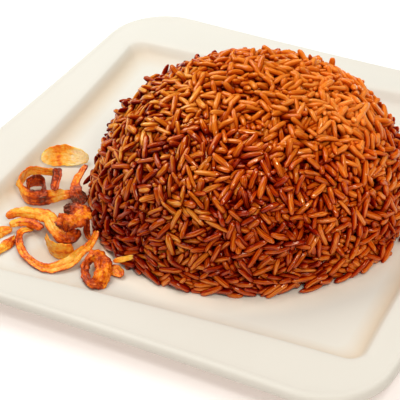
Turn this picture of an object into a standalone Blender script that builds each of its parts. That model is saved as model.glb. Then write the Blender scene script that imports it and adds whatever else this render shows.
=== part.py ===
"""A plate of sayadieh: a moulded dome of brown rice on a square white plate,
with curls and strips of fried onion beside it. The origin is on the table,
below the middle of the plate, and +Z is up."""

import math
import random

import bmesh
import bpy
from mathutils import Matrix, Vector

MM = 0.001
GAP = 0.3 * MM  # air between the food and what carries it

# Plate. The outline is a square with round corners and sides that bow in a
# little. The well is a smaller one, set slightly askew in it.
PLATE_HALF = 109.7 * MM
PLATE_CORNER = 28 * MM
PLATE_BOW = 2.4 * MM
WELL_HALF = 89.4 * MM  # at its upper edge
WELL_CORNER = 7.2 * MM
WELL_BOW = 2.1 * MM
WELL_TURN = math.radians(4.7)
WALL_RUN = 9.7 * MM
FLOOR_TOP = 7.0 * MM
WELL_EDGE = 12.6 * MM
RIM_TOP = 13.6 * MM
CHINA = 4.0 * MM  # thickness of the ware
FOOT_HALF = 64.0 * MM
FOOT_CORNER = 12 * MM
ARC_STEPS = 7
SIDE_STEPS = 6

# Rice, as left by a bowl: a full dome whose top has slid off centre a little.
RICE_CENTRE = Vector((9.5 * MM, -4.1 * MM))
RICE_RADIUS = 63.0 * MM
RICE_HEIGHT = 57.8 * MM
RICE_LEAN = Vector((2.3 * MM, 0.8 * MM))  # the top against the base
RICE_CURVE = 2.33  # 2 would be a half ellipse, more is a fuller dome
GRAIN_LENGTH = 7.7 * MM
GRAIN_DEPTH = 1.3 * MM  # from a grain's back down to the gap beside it
GRAINS = 760
GRAIN_SPACING = 3.3 * MM
GRAIN_TIP = 0.36  # how far a ridge runs each way, as a share of the length
TIP_CLEAR = 0.35  # nearest that two ridge points come, as a share of that run
TIP_SINK = 0.3  # how far a ridge drops at its tips, as a share of the depth
GRAIN_LIFT = 0.25  # how far a grain stands out or in, as a share of the depth
VALLEYS = 1150
VALLEY_SPACING = 1.75 * MM
VALLEY_CLEAR = 1.45 * MM
BASE_STEP = 3.2 * MM
BASE_DEPTHS = (0.3, 1.2)  # in and out along the base, as shares of the depth
SEED = 7

# Onion strips, in millimetres. A route is the middle of a strip. Width, thick
# and lean, in degrees (0 stands on edge, 90 lies flat), are spread along it.
# cup is how far the middle of the width bulges.
STRIP_STEPS = 3
END_TAPER = 0.55  # width and thickness at a strip's ends
FLAT_SHARE = 0.55  # how much of a strip's width is at full thickness
STRIPS = {
    "onion_petal_back": dict(
        width=(3.6, 7.4, 9.0, 8.6, 6.6, 3.2),
        thick=1.0,
        lean=(-50, -38, -35, -35, -38, -50),
        cup=1.2,
        route=[
            (-79.0, -19.5, 10.5),
            (-77.5, -17.5, 11.0),
            (-75.5, -15.0, 11.0),
            (-72.5, -13.5, 11.5),
            (-69.0, -12.0, 11.0),
            (-65.5, -10.5, 10.5),
            (-63.0, -9.5, 9.0),
        ],
    ),
    "onion_ring_upper": dict(
        width=(3.4, 3.6, 4.6, 6.2, 6.6, 6.0, 4.8, 4.2),
        thick=2.0,
        lean=(5, 5, 0, 0, -20, -40, -55, -70),
        route=[
            (-69.0, -26.5, 12.0),
            (-72.0, -27.5, 12.0),
            (-75.0, -29.0, 12.5),
            (-77.0, -31.5, 13.0),
            (-77.0, -36.0, 13.0),
            (-76.0, -40.0, 12.0),
            (-72.5, -43.0, 11.0),
            (-68.0, -45.0, 11.0),
            (-64.5, -44.0, 11.0),
            (-62.0, -42.0, 11.0),
            (-60.0, -39.0, 10.5),
            (-57.5, -37.0, 10.5),
            (-55.5, -35.5, 10.5),
            (-53.0, -35.0, 10.0),
        ],
    ),
    "onion_curl_inner": dict(
        width=(4.8, 5.8, 5.4),
        thick=1.3,
        lean=(0, 5, 0),
        route=[
            (-71.5, -40.5, 10.5),
            (-74.0, -37.0, 11.0),
            (-72.5, -34.0, 11.0),
            (-70.0, -33.0, 11.0),
            (-67.0, -35.0, 11.0),
            (-65.5, -39.0, 10.5),
        ],
    ),
    "onion_strip_bridge": dict(
        width=(3.8, 3.7, 3.5),
        thick=1.1,
        lean=(90, 80, 90),
        route=[
            (-65.0, -28.5, 16.0),
            (-62.5, -32.5, 15.5),
            (-61.0, -36.0, 15.0),
            (-59.0, -40.0, 14.0),
        ],
    ),
    "onion_strand_twist": dict(
        width=(6.4, 6.6, 4.8, 3.6, 3.2, 3.0),
        thick=1.7,
        lean=(80, 75, 75, 80, 85, 80),
        route=[
            (-47.5, -38.0, 9.5),
            (-49.5, -37.0, 11.0),
            (-51.5, -36.0, 13.0),
            (-53.5, -33.0, 14.0),
            (-55.0, -29.5, 14.5),
            (-55.0, -26.0, 15.5),
            (-54.5, -23.0, 17.0),
        ],
    ),
    "onion_strip_mid": dict(
        width=(3.4, 4.4, 5.0, 5.6, 6.2, 6.4, 6.0, 4.4),
        thick=1.6,
        lean=(-70, -60, -55, -60, -75, -65, -50, -80),
        route=[
            (-69.0, -59.5, 10.0),
            (-67.5, -58.0, 11.0),
            (-64.0, -57.0, 12.5),
            (-60.0, -56.0, 13.0),
            (-55.5, -55.5, 13.0),
            (-51.0, -56.5, 13.5),
            (-47.0, -59.0, 13.0),
            (-43.0, -61.5, 12.5),
            (-39.5, -62.5, 12.0),
            (-37.0, -61.0, 12.0),
            (-37.0, -57.0, 12.0),
        ],
    ),
    "onion_strip_low": dict(
        width=(3.0, 3.8, 4.0, 3.2),
        thick=1.3,
        lean=(-70, -60, -60, -80),
        route=[
            (-65.0, -63.5, 10.0),
            (-63.0, -61.5, 10.5),
            (-59.5, -60.0, 11.0),
            (-55.5, -60.0, 11.0),
            (-51.0, -61.0, 11.0),
        ],
    ),
    "onion_clump": dict(
        width=(5.0, 6.6, 7.0, 6.8, 5.4),
        thick=3.0,
        lean=(-50, -60, -95, -125, -110),
        route=[
            (-46.5, -50.5, 16.0),
            (-43.0, -51.0, 16.0),
            (-39.0, -51.5, 16.0),
            (-37.0, -56.0, 16.5),
            (-38.5, -59.5, 17.0),
            (-40.5, -61.5, 17.0),
            (-39.0, -65.0, 17.0),
        ],
    ),
    "onion_cup": dict(
        width=(6.6, 7.4, 7.2, 6.2),
        thick=1.3,
        lean=(0, 0, 0, 0),
        route=[
            (-45.5, -66.5, 11.5),
            (-42.0, -69.5, 11.0),
            (-38.0, -71.0, 11.0),
            (-34.5, -70.0, 11.0),
            (-33.0, -69.0, 11.0),
            (-32.5, -67.5, 11.0),
        ],
    ),
    "onion_strand_dark": dict(
        width=(2.2, 2.8, 2.2),
        thick=1.4,
        lean=(80, 85, 80),
        route=[
            (-36.5, -50.5, 13.0),
            (-36.0, -52.5, 11.5),
            (-34.0, -55.5, 10.5),
            (-31.5, -58.0, 10.0),
        ],
    ),
    "onion_loop_big": dict(
        width=(2.4, 3.2, 4.6, 4.6, 3.2, 3.0, 3.1, 2.9, 2.0),
        thick=1.6,
        lean=(85, 70, 58, 58, 60, 68, 85, 105, 120),
        route=[
            (-30.0, -54.5, 12.5),
            (-29.0, -58.0, 11.5),
            (-28.5, -63.0, 11.0),
            (-29.5, -68.0, 10.5),
            (-30.5, -73.0, 9.5),
            (-33.0, -76.5, 9.0),
            (-36.0, -79.0, 8.5),
            (-39.5, -79.5, 8.5),
            (-44.0, -78.5, 8.5),
            (-49.0, -76.5, 9.0),
            (-53.0, -73.5, 9.5),
            (-56.0, -70.0, 10.0),
            (-58.5, -65.0, 9.5),
            (-58.0, -62.5, 9.0),
            (-56.0, -60.0, 8.5),
        ],
    ),
    "onion_end_left_a": dict(
        width=(2.2, 4.2, 5.0, 4.6, 3.0),
        thick=1.3,
        lean=(-80, -65, -65, -70, -80),
        route=[
            (-69.0, -75.0, 8.0),
            (-68.0, -71.5, 8.5),
            (-67.0, -67.5, 8.5),
            (-65.5, -65.0, 8.5),
            (-64.0, -63.5, 8.0),
        ],
    ),
    "onion_end_left_b": dict(
        width=(2.2, 3.8, 4.2, 2.6),
        thick=1.4,
        lean=(-80, -70, -65, -80),
        route=[
            (-61.5, -83.0, 8.5),
            (-61.0, -79.5, 8.5),
            (-60.0, -75.5, 8.5),
            (-59.5, -71.5, 8.5),
            (-60.0, -67.5, 8.5),
        ],
    ),
    "onion_knot": dict(
        width=(4.6, 3.6, 2.8, 2.8, 3.4, 4.0, 4.8, 5.4, 5.4, 5.2, 4.6),
        thick=1.8,
        lean=(-112, -108, -95, -65, -60, -80, -95, -110),
        closed=True,
        route=[
            (-23.0, -67.5, 11.5),
            (-24.0, -69.5, 11.0),
            (-23.5, -73.5, 10.0),
            (-22.0, -76.5, 9.5),
            (-19.0, -79.0, 9.0),
            (-15.0, -80.5, 9.5),
            (-13.5, -78.0, 9.0),
            (-15.0, -74.5, 10.0),
            (-17.0, -71.0, 10.5),
            (-19.5, -68.0, 11.0),
        ],
    ),
    "onion_petal_knot": dict(
        width=(3.4, 5.4, 5.8, 4.2),
        thick=1.2,
        lean=(-85, -80, -80, -80),
        cup=0.4,
        route=[
            (-15.0, -68.0, 9.0),
            (-13.5, -68.5, 8.5),
            (-11.5, -69.5, 8.5),
            (-10.0, -70.0, 8.0),
        ],
    ),
    "onion_straw": dict(
        width=(2.0, 2.6, 2.2),
        thick=1.3,
        lean=(-60, -70, -60),
        route=[
            (-14.5, -67.5, 11.5),
            (-10.5, -66.5, 13.0),
            (-6.5, -66.0, 15.0),
        ],
    ),
}


def clear_scene():
    for found in list(bpy.data.objects):
        bpy.data.objects.remove(found)


def make_material(name, colour, roughness, metallic=0.0):
    material = bpy.data.materials.new(name)
    material.use_nodes = True
    shader = material.node_tree.nodes["Principled BSDF"]
    shader.inputs["Base Color"].default_value = (*colour, 1.0)
    shader.inputs["Roughness"].default_value = roughness
    shader.inputs["Metallic"].default_value = metallic
    material.diffuse_color = (*colour, 1.0)
    return material


def add_object(name, mesh_data, material):
    made = bpy.data.objects.new(name, mesh_data)
    bpy.context.scene.collection.objects.link(made)
    made.data.materials.append(material)
    return made


def mesh_from(name, build):
    """A mesh whose faces point outwards, built by calling build(bm)."""
    bm = bmesh.new()
    build(bm)
    bmesh.ops.recalc_face_normals(bm, faces=bm.faces)
    mesh = bpy.data.meshes.new(name)
    bm.to_mesh(mesh)
    bm.free()
    mesh.shade_smooth()
    mesh.set_sharp_from_angle(angle=math.radians(50))
    return mesh


def loft(bm, rings, closed=False):
    """Joins equal rings of vertices with quads, and caps the two ends."""
    pairs = list(zip(rings, rings[1:]))
    if closed:
        pairs.append((rings[-1], rings[0]))
    for lower, upper in pairs:
        for i in range(len(lower)):
            j = (i + 1) % len(lower)
            bm.faces.new((lower[i], lower[j], upper[j], upper[i]))
    if not closed:
        bm.faces.new(rings[0])
        bm.faces.new(rings[-1])


def square_outline(half, corner, bow):
    """Points of a round-cornered square whose sides bow in by bow."""
    points = []
    for quarter in range(4):
        turn = Matrix.Rotation(quarter * math.pi / 2, 2)
        centre = Vector((half - corner, half - corner))
        for step in range(ARC_STEPS + 1):
            angle = step / ARC_STEPS * math.pi / 2
            points.append(turn @ (centre + corner * Vector((math.cos(angle), math.sin(angle)))))
        for step in range(1, SIDE_STEPS + 1):
            along = 1 - 2 * step / (SIDE_STEPS + 1)
            points.append(turn @ Vector((along * (half - corner), half)))
    bowed = []
    for point in points:
        across = 1 - min(1, (point.y / half) ** 2)
        upward = 1 - min(1, (point.x / half) ** 2)
        bowed.append(Vector((point.x * (1 - bow / half * across), point.y * (1 - bow / half * upward))))
    return bowed


def plate_ring(bm, half, corner, height, askew):
    """One ring of the plate. askew is 1 in the well and 0 at the lip."""
    bow = PLATE_BOW + (WELL_BOW - PLATE_BOW) * askew
    turn = Matrix.Rotation(WELL_TURN * askew, 2)
    ring = []
    for point in square_outline(half, corner, bow):
        placed = turn @ point
        ring.append(bm.verts.new((placed.x, placed.y, height)))
    return ring


def build_plate(bm):
    under = FLOOR_TOP - CHINA
    floor_half = WELL_HALF - WALL_RUN
    rise = WELL_EDGE - FLOOR_TOP
    rim_mid = (WELL_EDGE + RIM_TOP) / 2
    rim_half = (WELL_HALF + PLATE_HALF) / 2
    rim_corner = (WELL_CORNER + PLATE_CORNER) / 2
    profile = [  # half width, corner radius, height, askew: the foot, the underside, the lip, the well
        (FOOT_HALF - 3.6 * MM, FOOT_CORNER, under - 0.4 * MM, 1.0),
        (FOOT_HALF - 2.2 * MM, FOOT_CORNER, 0.5 * MM, 1.0),
        (FOOT_HALF - 1.6 * MM, FOOT_CORNER, 0.0, 1.0),
        (FOOT_HALF + 1.0 * MM, FOOT_CORNER, 0.0, 1.0),
        (FOOT_HALF + 1.7 * MM, FOOT_CORNER, 0.6 * MM, 1.0),
        (FOOT_HALF + 3.4 * MM, FOOT_CORNER, under, 1.0),
        (floor_half + 1.5 * MM, WELL_CORNER + 5 * MM, under + 0.5 * MM, 1.0),
        (WELL_HALF + 1.5 * MM, WELL_CORNER + 9 * MM, WELL_EDGE - CHINA - 0.6 * MM, 0.9),
        (rim_half, rim_corner, rim_mid - CHINA - 0.4 * MM, 0.5),
        (PLATE_HALF - 2.6 * MM, PLATE_CORNER - 2 * MM, RIM_TOP - CHINA - 0.9 * MM, 0.06),
        (PLATE_HALF - 0.8 * MM, PLATE_CORNER - 0.5 * MM, RIM_TOP - CHINA - 0.1 * MM, 0.0),
        (PLATE_HALF, PLATE_CORNER, RIM_TOP - 2.9 * MM, 0.0),
        (PLATE_HALF - 0.1 * MM, PLATE_CORNER, RIM_TOP - 1.5 * MM, 0.0),
        (PLATE_HALF - 0.8 * MM, PLATE_CORNER - 0.5 * MM, RIM_TOP - 0.5 * MM, 0.0),
        (PLATE_HALF - 2.1 * MM, PLATE_CORNER - 1.5 * MM, RIM_TOP, 0.03),
        (PLATE_HALF - 4.2 * MM, PLATE_CORNER - 3 * MM, RIM_TOP - 0.4 * MM, 0.12),
        (rim_half, rim_corner, rim_mid - 0.1 * MM, 0.5),
        (WELL_HALF + 2.4 * MM, WELL_CORNER + 2 * MM, WELL_EDGE + 0.25 * MM, 0.95),
        (WELL_HALF + 0.4 * MM, WELL_CORNER + 0.3 * MM, WELL_EDGE, 1.0),
        (WELL_HALF - 0.9 * MM, WELL_CORNER - 0.4 * MM, WELL_EDGE - 0.09 * rise, 1.0),
        (WELL_HALF - 3.4 * MM, WELL_CORNER - 0.8 * MM, WELL_EDGE - 0.38 * rise, 1.0),
        (floor_half + 3.2 * MM, WELL_CORNER - 1.4 * MM, FLOOR_TOP + 0.24 * rise, 1.0),
        (floor_half + 1.0 * MM, WELL_CORNER - 2.0 * MM, FLOOR_TOP + 0.05 * rise, 1.0),
        (floor_half - 1.2 * MM, WELL_CORNER - 2.2 * MM, FLOOR_TOP, 1.0),
    ]
    rings = [plate_ring(bm, *row) for row in profile]
    loft(bm, rings)


def make_plate(material):
    return add_object("plate", mesh_from("plate", build_plate), material)


def on_dome(direction, depth):
    """The point of the dome that a unit direction stands for, sunk by depth."""
    rise = math.asin(max(0.0, min(1.0, direction.z)))
    bearing = math.atan2(direction.y, direction.x)
    outward = max(0.0, math.cos(rise)) ** (2 / RICE_CURVE)
    upward = max(0.0, math.sin(rise)) ** (2 / RICE_CURVE)
    flat = Vector((math.cos(bearing), math.sin(bearing))) * (RICE_RADIUS - depth) * outward
    flat += RICE_CENTRE + RICE_LEAN * upward
    return Vector((flat.x, flat.y, FLOOR_TOP + GAP + (RICE_HEIGHT - GAP - depth) * upward))


def random_direction(draw, lowest):
    height = draw.uniform(lowest, 1.0)
    bearing = draw.uniform(0.0, 2 * math.pi)
    flat = math.sqrt(1 - height * height)
    return Vector((flat * math.cos(bearing), flat * math.sin(bearing), height))


def spread_points(draw, count, spacing, lowest, accept):
    """Unit directions at least spacing apart, drawn until count of them fit."""
    cell = spacing / RICE_RADIUS
    grid = {}
    kept = []
    for _ in range(count * 60):
        if len(kept) == count:
            break
        point = random_direction(draw, lowest)
        key = tuple(math.floor(value / cell) for value in point)
        near = (
            other
            for i in (-1, 0, 1)
            for j in (-1, 0, 1)
            for k in (-1, 0, 1)
            for other in grid.get((key[0] + i, key[1] + j, key[2] + k), ())
        )
        if any((point - other).length < cell for other in near) or not accept(point):
            continue
        grid.setdefault(key, []).append(point)
        kept.append(point)
    return kept


def build_rice(bm):
    """The dome's skin: each grain is a low ridge, with a valley round it."""
    draw = random.Random(SEED)
    reach = GRAIN_TIP * GRAIN_LENGTH / RICE_RADIUS
    depth_of = {}

    def add_direction(direction, depth):
        vertex = bm.verts.new(direction.normalized())
        depth_of[vertex] = depth

    ridges = []
    low_row = 0.5 * GRAIN_SPACING / RICE_RADIUS
    for middle in spread_points(draw, GRAINS, GRAIN_SPACING, low_row, lambda point: True):
        side = middle.orthogonal().normalized()
        side = Matrix.Rotation(draw.uniform(0, math.pi), 3, middle) @ side
        lift = draw.uniform(-GRAIN_LIFT, GRAIN_LIFT) * GRAIN_DEPTH
        for share, sink in ((-1, TIP_SINK), (0, 0.0), (1, TIP_SINK)):
            tip = (middle + side * reach * share).normalized()
            if tip.z > low_row and all((tip - other).length > TIP_CLEAR * reach for other in ridges):
                ridges.append(tip)
                add_direction(tip, sink * GRAIN_DEPTH - lift)

    clear = VALLEY_CLEAR / RICE_RADIUS
    tree = {}
    for tip in ridges:
        tree.setdefault(tuple(math.floor(value / clear) for value in tip), []).append(tip)

    def in_valley(point):
        key = tuple(math.floor(value / clear) for value in point)
        return not any(
            (point - other).length < clear
            for i in (-1, 0, 1)
            for j in (-1, 0, 1)
            for k in (-1, 0, 1)
            for other in tree.get((key[0] + i, key[1] + j, key[2] + k), ())
        )

    for point in spread_points(draw, VALLEYS, VALLEY_SPACING, low_row, in_valley):
        add_direction(point, GRAIN_DEPTH)

    around = round(2 * math.pi * RICE_RADIUS / BASE_STEP)
    for step in range(around):
        bearing = 2 * math.pi * step / around
        depth = BASE_DEPTHS[step % 2] * GRAIN_DEPTH
        add_direction(Vector((math.cos(bearing), math.sin(bearing), 0.0)), depth)
    add_direction(Vector((0, 0, -1)), 0.0)

    bmesh.ops.convex_hull(bm, input=bm.verts, use_existing_faces=False)
    for vertex in bm.verts:
        if vertex.co.z < -0.5:  # the one point under the middle
            vertex.co = (RICE_CENTRE.x, RICE_CENTRE.y, FLOOR_TOP + GAP)
        else:
            vertex.co = on_dome(vertex.co, depth_of[vertex])


def make_rice(material):
    return add_object("rice_mound", mesh_from("rice_mound", build_rice), material)


def spread_along(values, share):
    """The value at share (0 to 1) of a few values spaced evenly."""
    place = share * (len(values) - 1)
    low = min(int(place), len(values) - 2)
    return values[low] + (values[low + 1] - values[low]) * (place - low)


def smooth_route(route, closed):
    """Points of a Catmull-Rom curve through the route."""
    spans = len(route) if closed else len(route) - 1
    points = []
    for span in range(spans):
        if closed:
            a, b, c, d = (route[(span + k) % len(route)] for k in (-1, 0, 1, 2))
        else:
            b, c = route[span], route[span + 1]
            a = route[span - 1] if span else b * 2 - c
            d = route[span + 2] if span + 2 < len(route) else c * 2 - b
        for step in range(STRIP_STEPS):
            t = step / STRIP_STEPS
            points.append(
                0.5 * (2 * b + (c - a) * t + (2 * a - 5 * b + 4 * c - d) * t * t
                       + (3 * b - a - 3 * c + d) * t ** 3)
            )
    if not closed:
        points.append(route[-1].copy())
    return points


def strip_section(width, thick, cup):
    """The outline across a strip: flat faces that thin towards both edges."""
    outline = []
    flat = FLAT_SHARE
    for across, level in ((-1, 0), (-flat, 1), (flat, 1), (1, 0), (flat, -1), (-flat, -1)):
        outline.append((across * width / 2, level * thick / 2 + cup * (1 - across * across)))
    return outline


def build_strip(bm, strip):
    closed = strip.get("closed", False)
    route = [Vector(point) * MM for point in strip["route"]]
    points = smooth_route(route, closed)
    last = len(points) if closed else len(points) - 1
    rings = []
    for i, point in enumerate(points):
        ahead = points[(i + 1) % len(points)] if closed else points[min(i + 1, last)]
        behind = points[i - 1] if closed else points[max(i - 1, 0)]
        forward = (ahead - behind).normalized()
        side = forward.cross(Vector((0, 0, 1))).normalized()
        upward = side.cross(forward)
        share = i / last
        lean = math.radians(spread_along(strip["lean"], share))
        across = math.cos(lean) * upward + math.sin(lean) * side
        out = across.cross(forward)
        taper = END_TAPER if not closed and i in (0, last) else 1.0
        width = spread_along(strip["width"], share) * MM * taper
        thick = strip["thick"] * MM * taper
        cup = strip.get("cup", 0.0) * MM * math.sin(math.pi * share)
        section = strip_section(width, thick, cup)
        rings.append([bm.verts.new(point + across * a + out * b) for a, b in section])
    loft(bm, rings, closed)


def make_strips(material):
    for name, strip in STRIPS.items():
        add_object(name, mesh_from(name, lambda bm, strip=strip: build_strip(bm, strip)), material)


def main():
    clear_scene()
    make_plate(make_material("white_china", (0.86, 0.83, 0.76), 0.18))
    make_rice(make_material("brown_rice", (0.36, 0.11, 0.025), 0.38))
    make_strips(make_material("fried_onion", (0.62, 0.25, 0.05), 0.35))


main()
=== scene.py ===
import math

import bmesh
import bpy
import numpy as np
from mathutils import Matrix, Vector, noise
from mathutils.kdtree import KDTree


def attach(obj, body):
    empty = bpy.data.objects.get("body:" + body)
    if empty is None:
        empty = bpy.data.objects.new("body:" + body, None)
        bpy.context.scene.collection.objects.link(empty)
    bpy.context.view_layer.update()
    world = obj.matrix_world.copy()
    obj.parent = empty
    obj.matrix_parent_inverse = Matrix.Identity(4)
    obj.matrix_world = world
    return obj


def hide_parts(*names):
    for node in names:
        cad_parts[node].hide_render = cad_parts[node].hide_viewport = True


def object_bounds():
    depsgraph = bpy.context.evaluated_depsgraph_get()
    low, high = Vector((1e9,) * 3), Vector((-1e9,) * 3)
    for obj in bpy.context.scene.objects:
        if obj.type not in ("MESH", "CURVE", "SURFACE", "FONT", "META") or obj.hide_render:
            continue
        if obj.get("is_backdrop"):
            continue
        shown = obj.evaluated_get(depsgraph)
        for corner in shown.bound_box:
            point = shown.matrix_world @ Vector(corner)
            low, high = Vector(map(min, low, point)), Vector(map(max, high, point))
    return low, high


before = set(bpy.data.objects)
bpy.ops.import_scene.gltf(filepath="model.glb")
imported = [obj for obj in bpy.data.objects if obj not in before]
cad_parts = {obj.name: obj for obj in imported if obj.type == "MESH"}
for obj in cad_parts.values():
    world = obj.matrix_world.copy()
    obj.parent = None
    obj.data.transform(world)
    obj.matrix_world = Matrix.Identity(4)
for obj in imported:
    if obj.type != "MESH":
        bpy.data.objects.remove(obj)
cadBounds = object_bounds()
mm = 0.001
tiny = 1e-6
up = Vector((0, 0, 1))


# small helpers that the pieces share

def fillInputs(tree, node, inputs):
    # an input takes either a value or another node's output
    for key, value in inputs.items():
        if isinstance(value, bpy.types.NodeSocket):
            tree.links.new(value, node.inputs[key])
        else:
            node.inputs[key].default_value = value


def addNode(tree, kind, inputs=None, output=0, **settings):
    # gives one output of the new node, or with None the node itself
    made = tree.nodes.new(kind)
    for key, value in settings.items():
        setattr(made, key, value)
    fillInputs(tree, made, inputs or {})
    return made if output is None else made.outputs[output]


def mathNode(tree, operation, first, *others):
    # numbers joined from left to right
    for other in others or (0.0,):
        first = addNode(tree, "ShaderNodeMath", {0: first, 1: other}, operation=operation)
    return first


def plus(tree, *numbers):
    return mathNode(tree, "ADD", *numbers)


def minus(tree, *numbers):
    return mathNode(tree, "SUBTRACT", *numbers)


def times(tree, *numbers):
    return mathNode(tree, "MULTIPLY", *numbers)


def vectorNode(tree, operation, first, second=(0.0, 0.0, 0.0)):
    output = "Value" if operation in ("DOT_PRODUCT", "DISTANCE", "LENGTH") else "Vector"
    return addNode(tree, "ShaderNodeVectorMath", {0: first, 1: second}, output, operation=operation)


def cloudNode(tree, scale, detail, place=None, output="Fac"):
    inputs = {"Vector": place} if place else {}
    return addNode(tree, "ShaderNodeTexNoise", {"Scale": scale, "Detail": detail, **inputs}, output)


def swingNode(tree, factor, swing):
    # a factor from 0 to 1 as a number that swings round nothing
    return times(tree, minus(tree, factor, 0.5), swing)


def rampNode(tree, value, start, end, low=0.0, high=1.0, smooth=False):
    # low where the value is at start, high where it is at end
    return addNode(tree, "ShaderNodeMapRange", {
        "Value": value, "From Min": start, "From Max": end, "To Min": low, "To Max": high,
    }, interpolation_type="SMOOTHSTEP" if smooth else "LINEAR")


def colourRamp(tree, factor, stops):
    ramp = addNode(tree, "ShaderNodeValToRGB", {"Fac": factor}, None)
    elements = ramp.color_ramp.elements
    while len(elements) < len(stops):
        elements.new(0.5)
    for element, (place, colour) in zip(elements, stops):
        element.position = place
        element.color = (*colour, 1.0)
    return ramp.outputs["Color"]


def tintNode(tree, colour, share, tint):
    # the colour times a tint, as far as share says
    return addNode(tree, "ShaderNodeMix", {"Factor": share, 6: colour, 7: (*tint, 1.0)}, 2,
                   data_type="RGBA", blend_type="MULTIPLY")


def bumpNode(tree, height, strength, distance):
    return addNode(tree, "ShaderNodeBump", {"Height": height, "Strength": strength, "Distance": distance})


def readAttribute(tree, name, output="Fac"):
    return addNode(tree, "ShaderNodeAttribute", None, output, attribute_name=name)


def objectPlace(tree):
    return addNode(tree, "ShaderNodeTexCoord", None, "Object")


def newMaterial(name):
    made = bpy.data.materials.new(name)
    made.use_nodes = True
    return made, made.node_tree, made.node_tree.nodes["Principled BSDF"]


def soften(tree, shader, look):
    # a tinted shine, and light that gets under the skin
    fillInputs(tree, shader, {
        "Specular Tint": (*look["shineTint"], 1.0), "Subsurface Weight": look["soft"],
        "Subsurface Radius": look["softReach"], "Subsurface Scale": 1.0})


def newMesh(name, points, faces):
    mesh = bpy.data.meshes.new(name)
    mesh.from_pydata(points, [], faces)
    mesh.shade_smooth()
    return mesh


def setValues(mesh, label, kind, values):
    field = "value" if kind == "FLOAT" else "vector"
    mesh.attributes.new(label, kind, "POINT").data.foreach_set(field, np.ravel(values).astype(np.float32))


def bandFaces(rows, around, closed=False):
    # quads between rows of points; closed joins the last row to the first
    faces = []
    for row in range(rows if closed else rows - 1):
        for i in range(around):
            j = (i + 1) % around
            low, high = row * around, (row + 1) % rows * around
            faces.append((low + i, low + j, high + j, high + i))
    return faces


def capFaces(rows, around, bottom, top):
    # fans from the first row to the bottom point and from the last row to the top point
    last = (rows - 1) * around
    faces = []
    for i in range(around):
        j = (i + 1) % around
        faces += [(bottom, j, i), (top, last + i, last + j)]
    return faces


def addPiece(name, mesh, slot, *nodes):
    # a finished piece: rides on the plate's body and hides the nodes that it stands for
    piece = bpy.data.objects.new(name, mesh)
    bpy.context.scene.collection.objects.link(piece)
    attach(piece, "root")
    if nodes:
        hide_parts(*nodes)
    return piece


def spreadAlong(values, share):
    # the value at share (0 to 1) of a few values spaced evenly
    place = share * (len(values) - 1)
    low = min(int(place), len(values) - 2)
    return values[low] + (values[low + 1] - values[low]) * (place - low)


cameraView = dict(
    turn=31.3,  # degrees round the plate, 0 looks along +Y
    rise=33.87,
    roll=-2.83,
    focalPixels=1878.8, pictureWidth=400,
    sensorWidth=36.0,  # mm
    distance=748.2,  # mm
    target=(-8.96, -11.59, 7.0),
    clipEnd=20.0,  # metres
)


def makeCamera(view):
    turn, rise, roll = (math.radians(view[key]) for key in ("turn", "rise", "roll"))
    back = Vector((math.sin(turn) * math.cos(rise), -math.cos(turn) * math.cos(rise), math.sin(rise)))
    right = up.cross(back).normalized()
    over = back.cross(right)
    rolledRight = right * math.cos(roll) + over * math.sin(roll)
    rolledOver = -right * math.sin(roll) + over * math.cos(roll)
    data = bpy.data.cameras.new("camera")
    data.sensor_width = view["sensorWidth"]
    data.lens = view["focalPixels"] / view["pictureWidth"] * view["sensorWidth"]
    data.clip_end = view["clipEnd"]
    camera = bpy.data.objects.new("camera", data)
    bpy.context.scene.collection.objects.link(camera)
    place = Matrix((rolledRight, rolledOver, back)).transposed().to_4x4()
    place.translation = (Vector(view["target"]) + back * view["distance"]) * mm
    camera.matrix_world = place
    bpy.context.scene.camera = camera
    return right, Vector((-back.x, -back.y, 0)).normalized()


studio = dict(
    floorHalf=3.0,  # metres
    floorColour=(0.645, 0.645, 0.645), floorShade=0.99, floorCloud=3.0, floorRoughness=0.75,
    floorGlow=(1.0, 0.83, 0.75), floorGlowStrength=0.40,
    skyColour=(1.0, 0.94, 0.89), skyStrength=0.28,
    aim=(0, 0, 0.02), exposure=0.0,
)
# softboxes: metres to the right of the plate, behind it and above it, then size and watts;
# a softFill box lights without showing in the gloss
softboxes = dict(
    top=dict(place=(-0.29, 0.19, 0.54), size=0.46, watts=3.2, colour=(1.0, 0.99, 0.98)),
    front=dict(place=(-0.34, -0.38, 0.90), size=1.0, watts=1.8, colour=(1.0, 0.975, 0.94), softFill=True),
    sparkFront=dict(place=(0.12, -0.50, 0.52), size=0.16, watts=2.35, colour=(1.0, 0.97, 0.92)),
    sparkRight=dict(place=(0.46, 0.16, 0.60), size=0.09, watts=0.7, colour=(1.0, 0.96, 0.90)),
    back=dict(place=(0.08, 0.32, 0.20), size=0.40, watts=0.72, colour=(0.76, 0.94, 1.0), softFill=True),
)


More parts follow.
